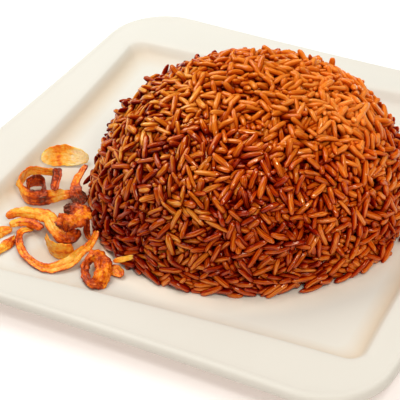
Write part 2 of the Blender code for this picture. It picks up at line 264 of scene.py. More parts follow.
def makeFloor():
    bpy.ops.mesh.primitive_plane_add(size=2 * studio["floorHalf"], location=(0, 0, 0))
    floor = bpy.context.object
    floor.name = "floor"
    material, tree, shader = newMaterial("paleFloor")
    pale = Vector(studio["floorColour"])
    cloud = cloudNode(tree, studio["floorCloud"], 2.0)
    fillInputs(tree, shader, {
        "Base Color": colourRamp(tree, cloud, [(0.3, pale * studio["floorShade"]), (0.7, pale)]),
        "Roughness": studio["floorRoughness"],
        "Emission Color": (*studio["floorGlow"], 1.0),
        "Emission Strength": studio["floorGlowStrength"]})
    floor.data.materials.append(material)
    floor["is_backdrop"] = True


def makeLight(right, away):
    aim = Vector(studio["aim"])
    for name, box in softboxes.items():
        data = bpy.data.lights.new(name, "AREA")
        data.size = box["size"]
        data.energy = box["watts"]
        data.color = box["colour"]
        light = bpy.data.objects.new(name, data)
        bpy.context.scene.collection.objects.link(light)
        aside, behind, above = box["place"]
        light.location = right * aside + away * behind + up * above
        light.rotation_euler = (aim - light.location).to_track_quat("-Z", "Y").to_euler()
        light.visible_glossy = not box.get("softFill", False)
    world = bpy.data.worlds.new("sky")
    world.use_nodes = True
    sky = world.node_tree.nodes["Background"]
    sky.inputs["Color"].default_value = (*studio["skyColour"], 1.0)
    sky.inputs["Strength"].default_value = studio["skyStrength"]
    bpy.context.scene.world = world
    world.cycles_visibility.glossy = False  # the sky only fills, the boxes make the shine
    bpy.context.scene.view_settings.view_transform = "Standard"
    bpy.context.scene.view_settings.exposure = studio["exposure"]


toTheRight, awayFromCamera = makeCamera(cameraView)
makeFloor()
makeLight(toTheRight, awayFromCamera)
print("camera, floor and light are in place")


dome = dict(centre=(9.5, -4.1), radius=63.0, height=57.8, lean=(2.3, 0.8), curve=2.33)  # the rice, in mm
plateSizes = dict(  # mm
    half=109.7, corner=28.0, bow=2.4,  # outline, whose sides bow in a little
    wellHalf=89.4, wellCorner=7.2, wellBow=2.1, wellTurn=4.7,  # the well sits askew
    wallRun=9.7, floorTop=7.0, wellEdge=12.6, rimTop=13.6, china=4.0,
    footHalf=64.0, footCorner=12.0,
    arcSteps=14, sideSteps=16, rowSteps=3,
)
floorTop = plateSizes["floorTop"]
chinaLook = dict(
    colours=((0.3, (0.605, 0.575, 0.51)), (0.7, (0.625, 0.595, 0.53))), cloudScale=18.0,
    # painted shade on the well's wall, darker and warmer, by side: +X, +Y, -X, -Y
    wallShadeTint=(0.95, 0.83, 0.70), wallShadeShares=(1.0, 0.0, 1.0, 0.35), wallStart=0.7, wallShadePower=0.6,
    roughness=(0.40, 0.50), smearScale=40.0, specular=0.20,
    waveScale=60.0, waveStrength=0.05, waveHeight=0.0006,
    # the rice throws warm light on the plate round its foot, metres from its middle
    warmRun=(0.077, 0.064), warmth=(1.36, 1.31, 1.24),
    # painted warm shade round the onions, where they throw shadow and orange light: middle and two half
    # sizes in metres, the way it runs, its colour
    onionShadeMiddle=(-0.047, -0.046, 0.007), onionShadeHalves=(0.046, 0.024), onionShadeWay=(0.67, -0.74, 0.0),
    onionShadeTint=(0.95, 0.80, 0.66), onionShadeStrength=0.8, onionShadeEdge=(1.15, 0.6), onionShadeUneven=1.0, onionShadeEdgeScale=110.0,
)


def squareOutline(half, corner, bow):
    # points of a round-cornered square whose sides bow in
    arcSteps, sideSteps = plateSizes["arcSteps"], plateSizes["sideSteps"]
    points = []
    for quarter in range(4):
        turn = Matrix.Rotation(quarter * math.pi / 2, 2)
        centre = Vector((half - corner, half - corner))
        for step in range(arcSteps + 1):
            angle = step / arcSteps * math.pi / 2
            points.append(turn @ (centre + corner * Vector((math.cos(angle), math.sin(angle)))))
        for step in range(1, sideSteps + 1):
            along = 1 - 2 * step / (sideSteps + 1)
            points.append(turn @ Vector((along * (half - corner), half)))
    bowed = []
    for point in points:
        across = 1 - min(1, (point.y / half) ** 2)
        upward = 1 - min(1, (point.x / half) ** 2)
        bowed.append(Vector((point.x * (1 - bow / half * across), point.y * (1 - bow / half * upward))))
    return bowed


def plateProfile():
    # rows of half width, corner radius, height and how far askew: foot, underside, lip, well
    sizes = plateSizes
    half, corner, foot, footCorner = sizes["half"], sizes["corner"], sizes["footHalf"], sizes["footCorner"]
    well, wellCorner, edge, top = sizes["wellHalf"], sizes["wellCorner"], sizes["wellEdge"], sizes["rimTop"]
    china = sizes["china"]
    under = floorTop - china
    floorHalf = well - sizes["wallRun"]
    rise = edge - floorTop
    rimMid, rimHalf, rimCorner = (edge + top) / 2, (well + half) / 2, (wellCorner + corner) / 2
    return [
        (foot - 3.6, footCorner, under - 0.4, 1.0),
        (foot - 2.2, footCorner, 0.5, 1.0),
        (foot - 1.6, footCorner, 0.0, 1.0),
        (foot + 1.0, footCorner, 0.0, 1.0),
        (foot + 1.7, footCorner, 0.6, 1.0),
        (foot + 3.4, footCorner, under, 1.0),
        (floorHalf + 1.5, wellCorner + 5, under + 0.5, 1.0),
        (well + 1.5, wellCorner + 9, edge - china - 0.6, 0.9),
        (rimHalf, rimCorner, rimMid - china - 0.4, 0.5),
        (half - 2.6, corner - 2, top - china - 0.9, 0.06),
        (half - 0.8, corner - 0.5, top - china - 0.1, 0.0),
        (half, corner, top - 2.9, 0.0),
        (half - 0.1, corner, top - 1.5, 0.0),
        (half - 0.8, corner - 0.5, top - 0.5, 0.0),
        (half - 2.1, corner - 1.5, top, 0.03),
        (half - 4.2, corner - 3, top - 0.4, 0.12),
        (rimHalf, rimCorner, rimMid - 0.1, 0.5),
        (well + 2.4, wellCorner + 2, edge + 0.25, 0.95),
        (well + 0.4, wellCorner + 0.3, edge, 1.0),
        (well - 0.7, wellCorner - 0.3, edge - 0.08 * rise, 1.0),
        (well - 2.3, wellCorner - 0.6, edge - 0.36 * rise, 1.0),
        (well - 4.1, wellCorner - 1.0, edge - 0.68 * rise, 1.0),
        (floorHalf + 3.4, wellCorner - 1.5, floorTop + 0.13 * rise, 1.0),
        (floorHalf + 0.6, wellCorner - 2.0, floorTop + 0.03 * rise, 1.0),
        (floorHalf - 2.0, wellCorner - 2.2, floorTop, 1.0),
    ]


def smoothRows(rows, steps):
    # rows between rows on a cubic
    rows = [np.array(row, float) for row in rows]
    out = []
    for i in range(len(rows) - 1):
        a, b, c, d = rows[max(i - 1, 0)], rows[i], rows[i + 1], rows[min(i + 2, len(rows) - 1)]
        before, span, after = (np.linalg.norm((q - p)[:3]) for p, q in ((a, b), (b, c), (c, d)))
        inward = (c - a) / max(before + span, tiny) * span
        outward = (d - b) / max(span + after, tiny) * span
        for step in range(steps):
            t = step / steps
            out.append((2 * t**3 - 3 * t**2 + 1) * b + (t**3 - 2 * t**2 + t) * inward
                       + (3 * t**2 - 2 * t**3) * c + (t**3 - t**2) * outward)
    out.append(rows[-1])
    return [row.tolist() for row in out]


def makePlateMesh():
    sizes = plateSizes
    rows = smoothRows(plateProfile(), sizes["rowSteps"])
    points = []
    for half, corner, height, askew in rows:
        bow = sizes["bow"] + (sizes["wellBow"] - sizes["bow"]) * askew
        spin = Matrix.Rotation(math.radians(sizes["wellTurn"]) * askew, 2)
        for point in squareOutline(half, corner, bow):
            placed = spin @ point
            points.append((placed.x * mm, placed.y * mm, max(height, 0.0) * mm))
    around = len(points) // len(rows)
    bottom = len(points)
    points += [(0, 0, points[row * around][2]) for row in (0, len(rows) - 1)]  # the two flat middles
    faces = bandFaces(len(rows), around) + capFaces(len(rows), around, bottom, bottom + 1)
    mesh = newMesh("plate", points, faces)
    # wall: how much painted shade the well's wall takes, and nowhere else
    shares = chinaLook["wallShadeShares"]
    wall = []
    for row, (half, corner, height, askew) in enumerate(rows):
        risen = min(1.0, max(0.0, (height - floorTop) / (sizes["wellEdge"] - floorTop)))
        onWall = row > len(rows) * chinaLook["wallStart"] and askew == 1.0
        wallShaded = math.sin(math.pi * risen ** chinaLook["wallShadePower"]) if onWall else 0.0
        for x, y, _ in points[row * around:(row + 1) * around]:
            sideX = shares[0 if x > 0 else 2]
            sideY = shares[1 if y > 0 else 3]
            wall.append(wallShaded * (sideX * x**6 + sideY * y**6) / (x**6 + y**6))
    wall += [0.0] * (len(points) - len(wall))
    setValues(mesh, "wall", "FLOAT", wall)
    return mesh


def makeChina():
    material, tree, shader = newMaterial("whiteChina")
    look = chinaLook
    place = objectPlace(tree)
    colour = colourRamp(tree, cloudNode(tree, look["cloudScale"], 3.0, place), look["colours"])
    # painted shade: the well's walls darker and warmer
    colour = tintNode(tree, colour, readAttribute(tree, "wall"), look["wallShadeTint"])
    fromRice = vectorNode(tree, "DISTANCE", place, Vector((*dome["centre"], floorTop)) * mm)
    near = rampNode(tree, fromRice, *look["warmRun"], smooth=True)
    colour = tintNode(tree, colour, near, look["warmth"])
    # painted warm shade, an uneven oval round the onions
    long, wide = look["onionShadeHalves"]
    way = Vector(look["onionShadeWay"]).normalized()
    fromOnionShade = vectorNode(tree, "SUBTRACT", place, look["onionShadeMiddle"])
    oval = addNode(tree, "ShaderNodeCombineXYZ", {
        "X": vectorNode(tree, "DOT_PRODUCT", fromOnionShade, way / long),
        "Y": vectorNode(tree, "DOT_PRODUCT", fromOnionShade, up.cross(way) / wide)})
    uneven = swingNode(tree, cloudNode(tree, look["onionShadeEdgeScale"], 3.0, place), look["onionShadeUneven"])
    reach = plus(tree, vectorNode(tree, "LENGTH", oval), uneven)
    onionShade = rampNode(tree, reach, *look["onionShadeEdge"], high=look["onionShadeStrength"], smooth=True)
    smear = cloudNode(tree, look["smearScale"], 2.0, place)
    wave = cloudNode(tree, look["waveScale"], 1.0, place)
    fillInputs(tree, shader, {
        "Base Color": tintNode(tree, colour, onionShade, look["onionShadeTint"]),
        "Roughness": rampNode(tree, smear, 0.0, 1.0, *look["roughness"]),
        "Specular IOR Level": look["specular"],
        "Normal": bumpNode(tree, wave, look["waveStrength"], look["waveHeight"])})
    return material


plateMesh = makePlateMesh()
plateMesh.materials.append(makeChina())
addPiece("plateGlazed", plateMesh, "white_china", "plate")
print("plate:", len(plateMesh.polygons), "faces")


# rice: a dark core, painted shade seen in the gaps, and grains that lie in its skin without cutting each
# other

grainSizes = dict(  # mm
    length=8.4, width=2.42, flatness=0.88,
    lengthSpread=0.20, lengthLimits=(-0.5, 0.22), widthSpread=0.10, widthLimits=(-0.2, 0.2),
    roundEnd=0.8,  # how much of its radius a grain's round end takes of its length
    layers=((2.7, 1150, 3.0), (4.2, 1150, 3.0), (5.8, 700, 3.9)),  # depth, how many at most, how far apart
    onTop=(1.5, 480, 5.0),
    depthSpread=1.15, sunkAtTop=1.8, tiltOut=0.46,
    skirt=150, skirtReach=(-3.2, -0.4), skirtHeight=0.45,  # flat on the plate, out from the dome's foot
    skirtStray=0.2, skirtFlat=(1, 1, 0.1), slump=2.0, slumpWay=0.1,
    flatBelow=12.0, flatBy=(0.4, 0.4, 0.85), runRound=1.3,
    turnSpread=0.5, seed=11, triesEach=14,
    rings=9, sides=7, leastTip=0.02, crooked=0.45, crookedScale=330.0,  # crooked: how far the skin strays
    coreDepth=6.4, coreBump=1.2, coreBumps=(14, 14, 12), coreLift=0.3, coreRows=44, coreAround=150,
)
settling = dict(
    rounds=70, pairsEvery=10, pairReach=1.25,  # in grain lengths
    give=0.70,  # how near two grains may press, 1 is just touching
    push=0.42, swing=0.9, mostPush=0.6, mostSwing=0.2,
    pull=0.12, lastPull=0.05, lastFrom=0.7,  # back to its own depth
    layDown=0.04,
)
kinds = dict(  # bend in mm, fullness of the ends, share of all the grains
    straight=dict(bend=0.15, fullness=6.0, share=0.30),
    curved=dict(bend=1.0, fullness=5.6, share=0.26),
    bowed=dict(bend=0.55, fullness=7.0, share=0.26),
    tapered=dict(bend=0.4, fullness=3.2, share=0.18),
)


def domeDepth(points):
    # how deep each point is below the dome's skin, and the way out, both by the dome's formula
    curve, radius, height = dome["curve"], dome["radius"], dome["height"]
    high = np.maximum((points[:, 2] - floorTop) / height, 1e-4)
    lean = np.array(dome["lean"])
    flat = points[:, :2] - np.array(dome["centre"]) - lean * high[:, None]
    reach = np.maximum(np.linalg.norm(flat, axis=1), tiny)
    wide = reach / radius
    level = (wide**curve + high**curve) ** (1 / curve)
    slopeWide = (wide / level) ** (curve - 1) / radius
    slopeHigh = (high / level) ** (curve - 1) / height
    out = np.zeros_like(points)
    out[:, :2] = flat / reach[:, None] * slopeWide[:, None]
    out[:, 2] = slopeHigh - (out[:, :2] @ lean) / height
    steep = np.linalg.norm(out, axis=1)
    return (1 - level) / steep, out / steep[:, None]


def domePoints(rise, bearing, depth):
    # points on the dome sunk by depth, from two angles
    power = 2 / dome["curve"]
    outward = np.cos(rise) ** power * (dome["radius"] - depth)
    upward = np.sin(rise) ** power
    return np.stack([
        dome["centre"][0] + dome["lean"][0] * upward + outward * np.cos(bearing),
        dome["centre"][1] + dome["lean"][1] * upward + outward * np.sin(bearing),
        floorTop + upward * (dome["height"] - depth),
    ], axis=-1)


def scatterOnDome(draw, depth, count, spacing):
    # up to count points at one depth, no two nearer than spacing
    tries = count * grainSizes["triesEach"]
    high = draw.uniform(0, 1, tries)
    bearing = draw.uniform(0, 2 * math.pi, tries)
    points = domePoints(np.arcsin(high), bearing, depth)
    grid, kept = {}, []
    for index, point in enumerate(points):
        cell = tuple((point // spacing).astype(int))
        near = [
            other
            for i in (-1, 0, 1) for j in (-1, 0, 1) for k in (-1, 0, 1)
            for other in grid.get((cell[0] + i, cell[1] + j, cell[2] + k), ())
        ]
        if all(((point - points[other]) ** 2).sum() > spacing**2 for other in near):
            grid.setdefault(cell, []).append(index)
            kept.append(index)
            if len(kept) == count:
                break
    return points[kept]


def nearPairs(points, reach):
    tree = KDTree(len(points))
    for index, point in enumerate(points):
        tree.insert(point, index)
    tree.balance()
    first, second = [], []
    for index, point in enumerate(points):
        for _, other, _ in tree.find_range(point, reach):
            if other > index:
                first.append(index)
                second.append(other)
    return np.array(first), np.array(second)


def settle(middles, axes, halves, radii, depths):
    # pushes grains apart where they would cut each other, and keeps them in their layer
    wanted = (axes * domeDepth(middles)[1]).sum(1)
    for turn in range(settling["rounds"]):
        if turn % settling["pairsEvery"] == 0:
            first, second = nearPairs(middles, grainSizes["length"] * settling["pairReach"])
        # the nearest points of each two middle lines
        firstWay, secondWay = axes[first], axes[second]
        gap = middles[first] - middles[second]
        cosine = (firstWay * secondWay).sum(1)
        fromFirst, fromSecond = (firstWay * gap).sum(1), (secondWay * gap).sum(1)
        spread = np.maximum(1 - cosine * cosine, 1e-4)
        firstAt = np.clip((cosine * fromSecond - fromFirst) / spread, -halves[first], halves[first])
        secondAt = np.clip(cosine * firstAt + fromSecond, -halves[second], halves[second])
        firstAt = np.clip(cosine * secondAt - fromFirst, -halves[first], halves[first])
        apart = gap + firstWay * firstAt[:, None] - secondWay * secondAt[:, None]
        far = np.linalg.norm(apart, axis=1)
        over = radii[first] + radii[second] - far
        hit = over > 0
        push = apart[hit] / np.maximum(far[hit], 1e-5)[:, None] * (over[hit] * 0.5)[:, None]
        move, swing = np.zeros_like(middles), np.zeros_like(middles)
        for who, where, sign in ((first[hit], firstAt[hit], 1), (second[hit], secondAt[hit], -1)):
            np.add.at(move, who, sign * settling["push"] * push)
            np.add.at(swing, who, sign * settling["swing"] * push * (where / halves[who] ** 2)[:, None])
        middles = middles + np.clip(move, -settling["mostPush"], settling["mostPush"])
        axes = axes + np.clip(swing, -settling["mostSwing"], settling["mostSwing"])
        depth, out = domeDepth(middles)
        early = turn < settling["rounds"] * settling["lastFrom"]
        pull = settling["pull" if early else "lastPull"]
        middles = middles + out * ((depth - depths) * pull)[:, None]
        standing = (axes * out).sum(1)
        axes = axes - out * ((standing - wanted) * settling["layDown"])[:, None]
        axes /= np.linalg.norm(axes, axis=1)[:, None]
        lowest = middles[:, 2] - np.abs(axes[:, 2]) * halves - radii
        middles[:, 2] += np.maximum(floorTop - lowest, 0)
    return middles, axes


def scatterRice(draw):
    # where the grains start and how deep each belongs; the skirt's grains come last
    middles, depths = [], []
    for layer in grainSizes["layers"]:
        found = scatterOnDome(draw, *layer)
        middles.append(found)
        depths.append(draw.normal(layer[0], grainSizes["depthSpread"], len(found)))
    found = scatterOnDome(draw, *grainSizes["onTop"])
    middles.append(found)
    depths.append(np.full(len(found), grainSizes["onTop"][0]))
    skirt = grainSizes["skirt"]
    bearing = draw.uniform(0, 2 * math.pi, skirt)
    foot = dome["radius"] + draw.uniform(*grainSizes["skirtReach"], skirt)
    foot += grainSizes["slump"] * np.clip(np.cos(bearing - grainSizes["slumpWay"]), 0, 1) ** 3
    middles.append(np.stack([
        dome["centre"][0] + foot * np.cos(bearing),
        dome["centre"][1] + foot * np.sin(bearing),
        np.full(skirt, floorTop + grainSizes["width"] * grainSizes["skirtHeight"]),
    ], axis=1))
    depths.append(-(foot - dome["radius"]))
    middles, depths = np.concatenate(middles), np.concatenate(depths)
    high = (middles[:, 2] - floorTop) / dome["height"]
    return middles, depths + (high - 0.5) * grainSizes["sunkAtTop"]


def layRice(draw):
    # how every grain lies: middle, direction of its length, way out, and its size
    middles, depths = scatterRice(draw)
    count = len(middles)
    skirt = count - grainSizes["skirt"]
    _, out = domeDepth(middles)
    axes = np.cross(out, draw.normal(0, 1, (count, 3)))
    axes /= np.linalg.norm(axes, axis=1)[:, None]
    axes += out * draw.normal(0, grainSizes["tiltOut"], count)[:, None]
    # the lowest grains lie flat and run round the mound
    low = np.clip(1 - (middles[:, 2] - floorTop) / grainSizes["flatBelow"], 0, 1)[:, None]
    roundIt = np.cross(out, (0.0, 0.0, 1.0))
    roundIt *= np.where((axes * roundIt).sum(1) < 0, -1.0, 1.0)[:, None]
    axes = axes * (1 - low * grainSizes["flatBy"]) + roundIt * low * grainSizes["runRound"]
    stray = draw.normal(0, grainSizes["skirtStray"], (count - skirt, 3)) * grainSizes["skirtFlat"]
    axes[skirt:] = roundIt[skirt:] + stray
    axes /= np.linalg.norm(axes, axis=1)[:, None]
    long = 1 + draw.normal(0, grainSizes["lengthSpread"], count).clip(*grainSizes["lengthLimits"])
    wide = 1 + draw.normal(0, grainSizes["widthSpread"], count).clip(*grainSizes["widthLimits"])
    radii = wide * grainSizes["width"] / 2
    halves = long * grainSizes["length"] / 2 - radii * grainSizes["roundEnd"]
    middles, axes = settle(middles, axes, halves, radii * settling["give"], depths)
    return middles, axes, domeDepth(middles)[1], long, wide


def storeNode(tree, geometry, name, value, kind="FLOAT", domain="POINT"):
    return addNode(tree, "GeometryNodeStoreNamedAttribute", {
        "Geometry": geometry, "Name": name, "Value": value}, data_type=kind, domain=domain)


def namedNode(tree, name, kind):
    return addNode(tree, "GeometryNodeInputNamedAttribute", {"Name": name}, "Attribute", data_type=kind)


def grainSpine(tree, given):
    # rings crowd towards the tips, and the middle bends up
    line = addNode(tree, "GeometryNodeCurvePrimitiveLine", {"End": (1.0, 0.0, 0.0)})
    beads = addNode(tree, "GeometryNodeResampleCurve", {"Curve": line, "Count": given["Rings"]})
    factor = addNode(tree, "GeometryNodeSplineParameter")
    swung = mathNode(tree, "COSINE", times(tree, factor, math.pi))
    along = minus(tree, 0.5, times(tree, swung, 0.5))
    bulge = minus(tree, 0.5, times(tree, swung, swung))
    spot = addNode(tree, "ShaderNodeCombineXYZ", {
        "X": swingNode(tree, along, given["Length"]), "Z": times(tree, bulge, given["Bend"])})
    return addNode(tree, "GeometryNodeSetPosition", {
        "Geometry": storeNode(tree, beads, "along", along), "Position": spot})


def grainSkin(tree, spine, given):
    # radius: sqrt(1 - |2t - 1| ^ fullness), never quite nothing at the tips
    fromMiddle = mathNode(tree, "ABSOLUTE", swingNode(tree, namedNode(tree, "along", "FLOAT"), 2.0))
    drop = mathNode(tree, "POWER", fromMiddle, given["Fullness"])
    full = mathNode(tree, "MAXIMUM", minus(tree, 1.0, drop), grainSizes["leastTip"])
    girth = times(tree, mathNode(tree, "SQRT", full), given["Width"], 0.5)
    ring = addNode(tree, "GeometryNodeCurvePrimitiveCircle", {"Resolution": given["Sides"], "Radius": 1.0})
    marked = storeNode(tree, ring, "ring", addNode(tree, "GeometryNodeInputPosition"), "FLOAT_VECTOR")
    return addNode(tree, "GeometryNodeCurveToMesh", {
        "Curve": spine, "Profile Curve": marked, "Scale": girth, "Fill Caps": True})


def grainTree(kind, material):
    # one grain on every point of the mesh, turned and sized by the point's own attributes
    tree = bpy.data.node_groups.new(kind + "Grains", "GeometryNodeTree")
    face = tree.interface
    face.new_socket("Geometry", in_out="INPUT", socket_type="NodeSocketGeometry")
    for label in ("Length", "Width", "Bend", "Fullness", "Flatness", "Crooked"):
        face.new_socket(label, in_out="INPUT", socket_type="NodeSocketFloat")
    for label in ("Rings", "Sides", "Seed"):
        face.new_socket(label, in_out="INPUT", socket_type="NodeSocketInt")
    face.new_socket("Geometry", in_out="OUTPUT", socket_type="NodeSocketGeometry")
    given = addNode(tree, "NodeGroupInput", output=None).outputs
    skin = grainSkin(tree, grainSpine(tree, given), given)
    squeeze = addNode(tree, "ShaderNodeCombineXYZ", {"X": 1.0, "Y": 1.0, "Z": given["Flatness"]})
    grain = addNode(tree, "GeometryNodeTransform", {"Geometry": skin, "Scale": squeeze})
    smooth = addNode(tree, "GeometryNodeSetShadeSmooth", {"Geometry": grain})
    lie, facing, size = (namedNode(tree, name, "FLOAT_VECTOR") for name in ("lie", "facing", "size"))
    turned = addNode(tree, "FunctionNodeAxesToRotation", {"Primary Axis": lie, "Secondary Axis": facing},
                     primary_axis="X", secondary_axis="Z")
    placed = addNode(tree, "GeometryNodeInstanceOnPoints", {
        "Points": given["Geometry"], "Instance": smooth, "Rotation": turned, "Scale": size})
    shade = addNode(tree, "FunctionNodeRandomValue", {"Seed": given["Seed"]}, 1, data_type="FLOAT")
    tinted = storeNode(tree, placed, "tint", shade, domain="INSTANCE")
    real = addNode(tree, "GeometryNodeRealizeInstances", {"Geometry": tinted})
    # the skin strays a little, so that no two grains are quite alike
    cloud = cloudNode(tree, grainSizes["crookedScale"], 1.0, output="Color")
    fromGrey = vectorNode(tree, "SUBTRACT", cloud, (0.5, 0.5, 0.5))
    stray = addNode(tree, "ShaderNodeVectorMath", {
        0: fromGrey, "Scale": given["Crooked"]}, operation="SCALE")
    shaped = addNode(tree, "GeometryNodeSetPosition", {"Geometry": real, "Offset": stray})
    finished = addNode(tree, "GeometryNodeSetMaterial", {"Geometry": shaped, "Material": material})
    addNode(tree, "NodeGroupOutput", {0: finished}, None)
    return tree


def runTree(name, points, tree, values):
    # the plain mesh that the tree makes of these points
    maker = bpy.data.objects.new(name + "Maker", points)
    bpy.context.scene.collection.objects.link(maker)
    modifier = maker.modifiers.new("make", "NODES")
    modifier.node_group = tree
    for item in tree.interface.items_tree:
        if item.in_out == "INPUT" and item.name in values:
            modifier[item.identifier] = values[item.name]
    made = maker.evaluated_get(bpy.context.evaluated_depsgraph_get())
    mesh = bpy.data.meshes.new_from_object(made)
    mesh.name = name
    bpy.data.objects.remove(maker)
    return mesh


def makeCoreMesh():
    # the dome sunk below its skin, with bumps, closed on the plate
    rows, around, lift = grainSizes["coreRows"], grainSizes["coreAround"], grainSizes["coreLift"]
    bumpX, bumpY, bumpZ = grainSizes["coreBumps"]
    points = []
    for row in range(rows + 1):
        rise = row / rows * math.pi / 2
        for step in range(around if row < rows else 1):
            bearing = 2 * math.pi * step / around
            bump = noise.noise(Vector((math.cos(bearing) * bumpX, math.sin(bearing) * bumpY, rise * bumpZ)))
            depth = grainSizes["coreDepth"] + grainSizes["coreBump"] * bump
            points.append(domePoints(rise, bearing, depth) + (0, 0, lift))
    points.append(np.array((*dome["centre"], floorTop + lift)))
    faces = bandFaces(rows, around) + capFaces(rows, around, len(points) - 1, len(points) - 2)
    return newMesh("riceShadeCore", [tuple(point * mm) for point in points], faces)


riceLook = dict(
    # colour of a grain by its shade level, from dark red to pale
    shades=((0.0, (0.11, 0.001, 0.0002)), (0.2, (0.25, 0.007, 0.0004)), (0.4, (0.39, 0.032, 0.001)),
            (0.6, (0.54, 0.092, 0.003)), (0.8, (0.67, 0.175, 0.014)), (1.0, (0.79, 0.29, 0.055))),
    middleShade=0.38,
    # painted light and shade: a grain's back paler and its sides darker
    crownShadeSwing=0.78, crownShadeLevel=0.69,  # how much paler a grain's back is than its sides
    # the swing within a grain is partly painted highlight
    grainSwing=0.38, patchSwing=0.48, stripeSwing=1.44,  # from grain to grain, over 20 mm, within a grain
    patchScale=50.0, stripes=(1.7, 3.4, 3.4), stripeShift=91.0,  # along the grain and round it
    tipDarker=0.10, tipPower=5.0,
    # painted shade: grains darker the deeper they lie below the skin
    deepShade=0.20, deepFrom=2.2,  # per mm below the skin, from this depth in mm
    # painted light: the crown paler and calmer, mostly on top and a little to the right and back; the way
    # there, and metres that way
    palerWay=(0.16, 0.215, 0.95), palerRun=(0.040, 0.064), palerBy=0.34, calmBy=0.55,
    # darker round a spot low on the near side: partly soaked sauce, partly painted shade
    soakedShadeSpot=(-0.014, -0.056, 0.016), soakedShadeReach=0.044, soakedShadeDarker=0.30,
    # the way to the left, and metres that way
    sideWay=(-0.854, -0.52, 0.0), leftRun=(-0.004, 0.034), rightRun=(-0.016, -0.050),
    # painted light: how much paler the left and the right side are
    leftPaler=0.10, rightPaintedLight=0.22,
    # the left above its foot and a little of the crown are more golden, the right more orange
    golden=(0.98, 1.60, 2.30), goldenLeft=0.76, goldenPale=0.06, goldenRun=(0.010, 0.026),
    rustyRight=(1.06, 0.86, 0.66),
    roughness=(0.04, 0.13), dentScale=0.8, dentStrength=0.4, dentDepth=0.0005,
    specular=0.85, shineTint=(1.0, 0.79, 0.58),
    glossRun=(1.0, 6.0), glossPower=2.0,  # mm below the skin: full gloss, and none
    soft=0.15, softReach=(0.0016, 0.0006, 0.0003),  # light that gets under the skin
    # the core's colour: painted shade for the gaps between the grains
    core=(0.10, 0.003, 0.001), coreShades=(0.6, 1.5), coreSpeck=400.0, coreRoughness=0.8, coreSpecular=0.1,
)


def grainSwings(tree, place, tint, along, deep, crown, stripe):
    # how far the shade strays from the middle one, from grain to grain and within a grain, with painted
    # shade deep below the skin and painted light and shade on each grain's back and sides
    look = riceLook
    patch = cloudNode(tree, look["patchScale"], 2.0, place)
    fromMiddle = mathNode(tree, "ABSOLUTE", swingNode(tree, along, 2.0))
    toTip = mathNode(tree, "POWER", fromMiddle, look["tipPower"])
    # painted shade below the skin
    sunk = mathNode(tree, "MAXIMUM", minus(tree, deep, look["deepFrom"]), 0.0)
    lift = minus(tree, crown, look["crownShadeLevel"])
    swings = plus(tree, swingNode(tree, tint, look["grainSwing"]),
                  swingNode(tree, patch, look["patchSwing"]), swingNode(tree, stripe, look["stripeSwing"]))
    swings = minus(tree, swings, times(tree, toTip, look["tipDarker"]),
                   times(tree, sunk, look["deepShade"]))
    return plus(tree, swings, times(tree, lift, look["crownShadeSwing"]))


def shadeLevel(tree, place, swings, paleSide, left, right):
    # the shade's level from 0 to 1: calmer and with painted light on the crown, painted light on the sides,
    # and darker round the soaked spot, partly sauce and partly painted shade
    look = riceLook
    calm = minus(tree, 1.0, times(tree, paleSide, look["calmBy"]))
    level = plus(tree, times(tree, swings, calm), look["middleShade"],
                 times(tree, paleSide, look["palerBy"]))
    fromSpot = vectorNode(tree, "DISTANCE", place, look["soakedShadeSpot"])
    soakedShade = rampNode(tree, fromSpot, look["soakedShadeReach"], 0.0, high=look["soakedShadeDarker"], smooth=True)
    return plus(tree, minus(tree, level, soakedShade), times(tree, left, look["leftPaler"]),
                times(tree, right, look["rightPaintedLight"]))


def makeRiceMaterial():
    material, tree, shader = newMaterial("brownRice")
    look = riceLook
    place = objectPlace(tree)
    tint, along, deep, crown = (readAttribute(tree, name) for name in ("tint", "along", "deep", "crown"))
    # streaks that run along each grain, different on every one: partly the grain's own striations, partly
    # painted highlight
    ring = addNode(tree, "ShaderNodeSeparateXYZ", {"Vector": readAttribute(tree, "ring", "Vector")}, None)
    ringX, ringY, _ = ring.outputs
    own = addNode(tree, "ShaderNodeCombineXYZ", {"X": along, "Y": ringX, "Z": ringY})
    stretched = vectorNode(tree, "MULTIPLY", own, look["stripes"])
    moved = vectorNode(tree, "ADD", stretched, times(tree, tint, look["stripeShift"]))
    stripe = cloudNode(tree, 1.0, 3.0, moved)
    # painted light: the crown paler and more even, and each side paler by its own amount; the sides have
    # their own tones too
    towards = vectorNode(tree, "DOT_PRODUCT", place, look["palerWay"])
    paleSide = rampNode(tree, towards, *look["palerRun"], smooth=True)
    sideways = vectorNode(tree, "DOT_PRODUCT", place, look["sideWay"])
    left, right = (rampNode(tree, sideways, *look[run], smooth=True) for run in ("leftRun", "rightRun"))
    swings = grainSwings(tree, place, tint, along, deep, crown, stripe)
    level = shadeLevel(tree, place, swings, paleSide, left, right)
    height = addNode(tree, "ShaderNodeSeparateXYZ", {"Vector": place}, "Z")
    raised = rampNode(tree, height, *look["goldenRun"], high=look["goldenLeft"])
    gilded = plus(tree, times(tree, left, raised), times(tree, paleSide, look["goldenPale"]))
    colour = tintNode(tree, colourRamp(tree, level, look["shades"]), gilded, look["golden"])
    # only the grains' backs near the skin shine
    shine = rampNode(tree, deep, *look["glossRun"], look["specular"], 0.0)
    onBack = mathNode(tree, "POWER", crown, look["glossPower"])
    dent = cloudNode(tree, look["dentScale"], 1.0, moved)
    fillInputs(tree, shader, {
        "Base Color": tintNode(tree, colour, right, look["rustyRight"]),
        "Roughness": rampNode(tree, stripe, 0.0, 1.0, *look["roughness"]),
        "Normal": bumpNode(tree, dent, look["dentStrength"], look["dentDepth"]),
        "Specular IOR Level": times(tree, shine, onBack)})
    soften(tree, shader, look)
    return material


